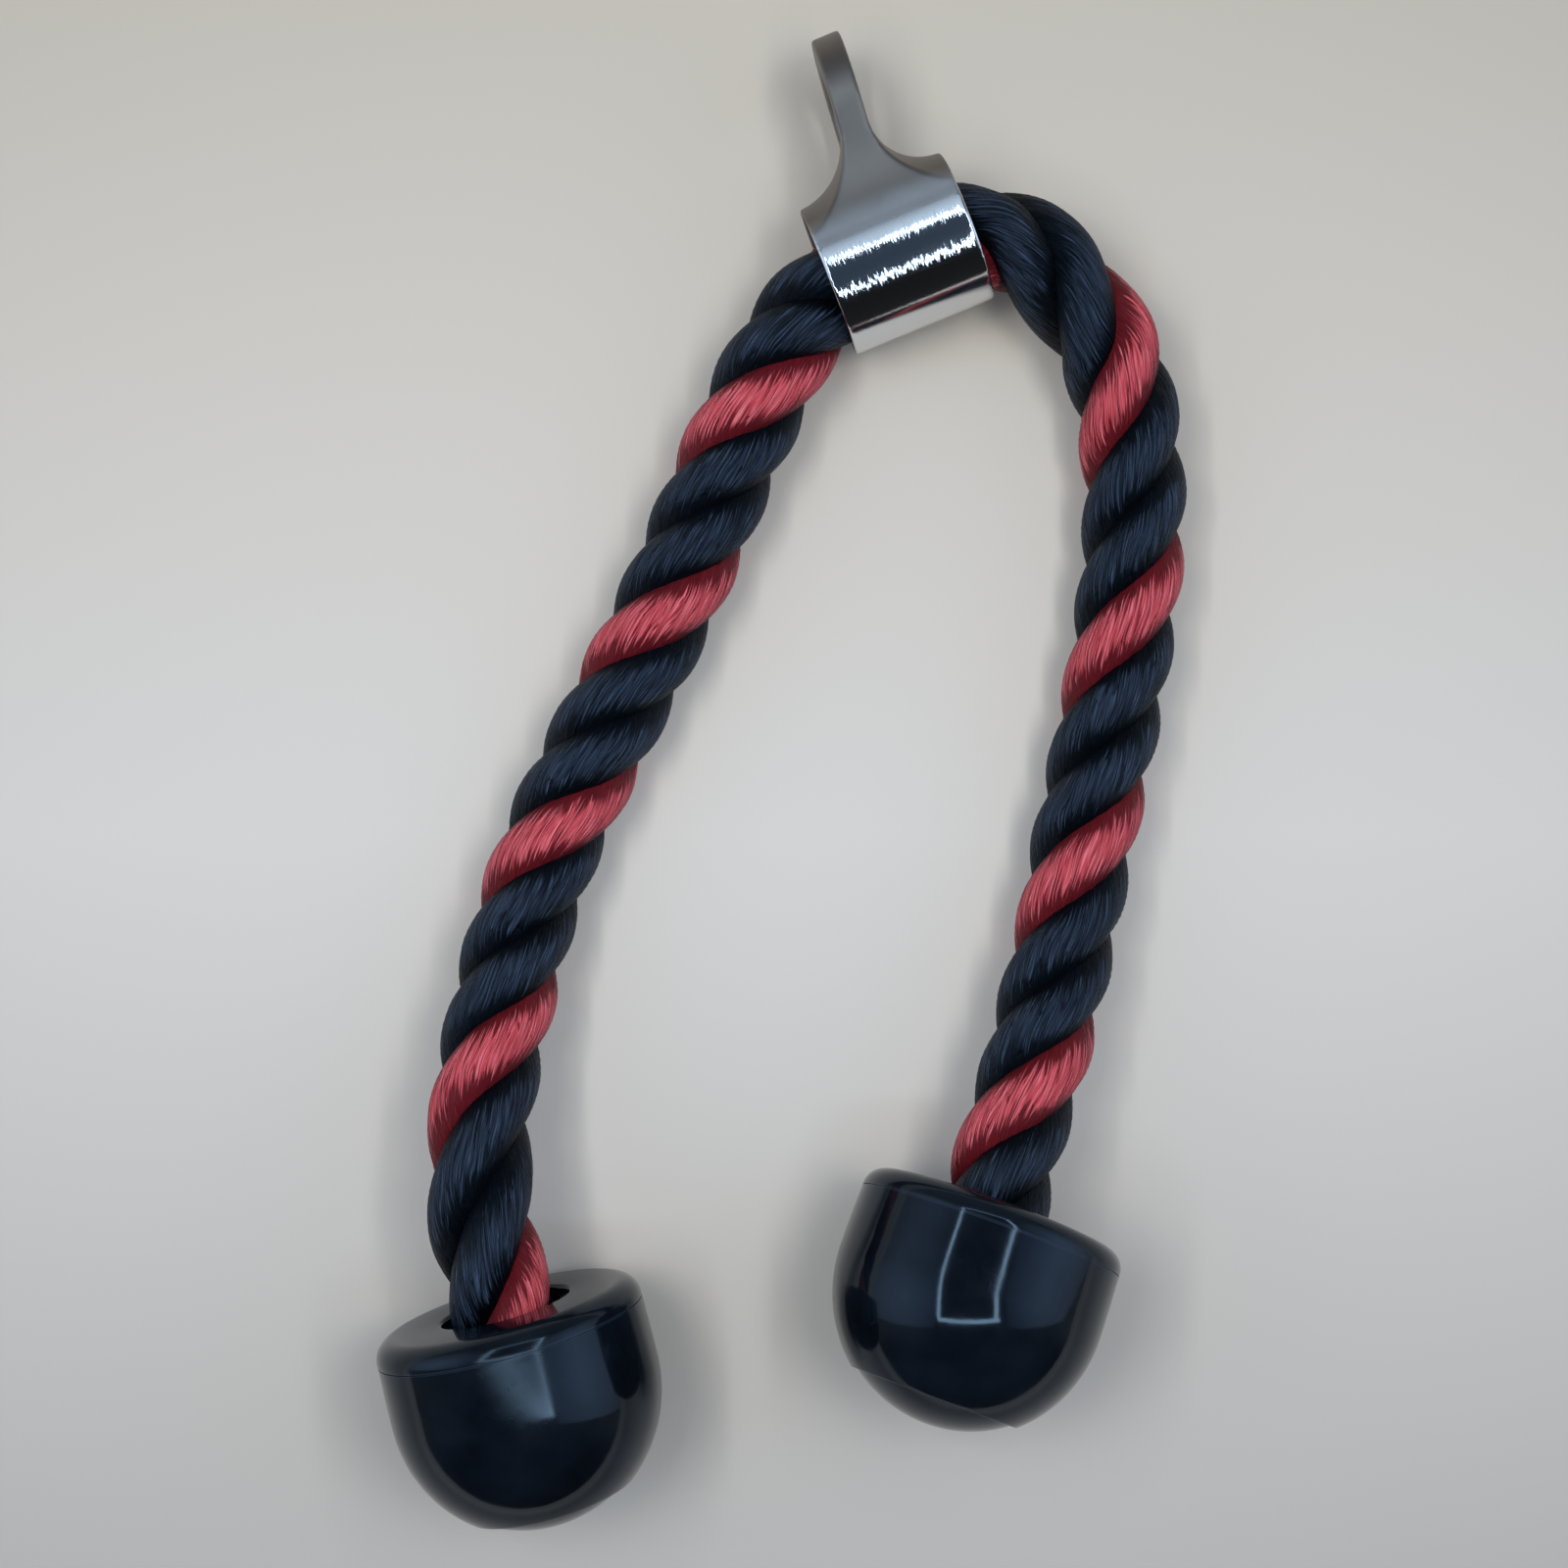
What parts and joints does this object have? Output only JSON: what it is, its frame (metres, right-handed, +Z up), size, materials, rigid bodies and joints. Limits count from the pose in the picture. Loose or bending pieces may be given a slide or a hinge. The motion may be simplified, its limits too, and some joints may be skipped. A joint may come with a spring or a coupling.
{
  "type": "triceps rope attachment",
  "caption": "Thick twisted rope bent through a cast eye fitting, with a glossy domed stopper on each end, lying on its side as a cable machine handle.",
  "frame": {"origin": "floor under the middle of the box of the fitting and the stoppers, with the rope lying on its side", "axes": "+Z up from the floor; +Y towards the eye fitting, -Y towards the stoppers; +X towards the leg that leaves the collar's raised end"},
  "size_m": [0.1904, 0.351, 0.0655],
  "materials": {
    "fitting_chrome": "polished chrome plate on the collar, satin grey on the web and the ring",
    "rope": "twisted synthetic rope, satin, two strands black and one red",
    "stopper": "glossy moulded plastic with light scuffs",
    "steel": "plain steel, hidden in the stopper"
  },
  "bodies": {
    "fitting": {"eye_fitting": "fitting_chrome"},
    "rope": {"rope_middle": "rope", "rope_left_bend": "rope", "rope_right_bend": "rope"},
    "left_leg": {"rope_left_leg": "rope", "left_rope_end": "rope", "left_ferrule": "steel"},
    "left_washer_ring": {"left_washer": "steel"},
    "left_stopper": {"left_stopper_lid": "stopper", "left_stopper_cup": "stopper", "left_stopper_cap": "stopper"},
    "right_leg": {"rope_right_leg": "rope", "right_rope_end": "rope", "right_ferrule": "steel"},
    "right_washer_ring": {"right_washer": "steel"},
    "right_stopper": {"right_stopper_lid": "stopper", "right_stopper_cup": "stopper", "right_stopper_cap": "stopper"}
  },
  "joints": [
    {"name": "rope_swivel", "type": "hinge", "parent": "fitting", "child": "rope", "pos_m": [0.03518, 0.12267, 0.01919], "axis": [0.9275, 0.3672, 0.0698], "continuous": true},
    {"name": "left_leg_swing", "type": "hinge", "parent": "rope", "child": "left_leg", "pos_m": [0.00783, 0.10151, 0.01804], "axis": [0, 0, 1], "range_deg": [-21, 6], "deforming": ["rope_left_bend"]},
    {"name": "right_leg_swing", "type": "hinge", "parent": "rope", "child": "right_leg", "pos_m": [0.0812, 0.11711, 0.02051], "axis": [0, 0, 1], "range_deg": [-4, 86], "deforming": ["rope_right_bend"]},
    {"name": "left_stopper_spin", "type": "hinge", "parent": "left_leg", "child": "left_washer_ring", "pos_m": [-0.05512, -0.12903, 0.0315], "axis": [-0.2436, 0.9699, 0], "continuous": true},
    {"name": "left_stopper_slide", "type": "slide", "parent": "left_washer_ring", "child": "left_stopper", "axis": [-0.2436, 0.9699, 0], "range_m": [0, 0.012]},
    {"name": "right_stopper_spin", "type": "hinge", "parent": "right_leg", "child": "right_washer_ring", "pos_m": [0.05598, -0.10663, 0.03072], "axis": [0.343, 0.9124, -0.2232], "continuous": true},
    {"name": "right_stopper_slide", "type": "slide", "parent": "right_washer_ring", "child": "right_stopper", "axis": [0.343, 0.9124, -0.2232], "range_m": [0, 0.012]}
  ]
}
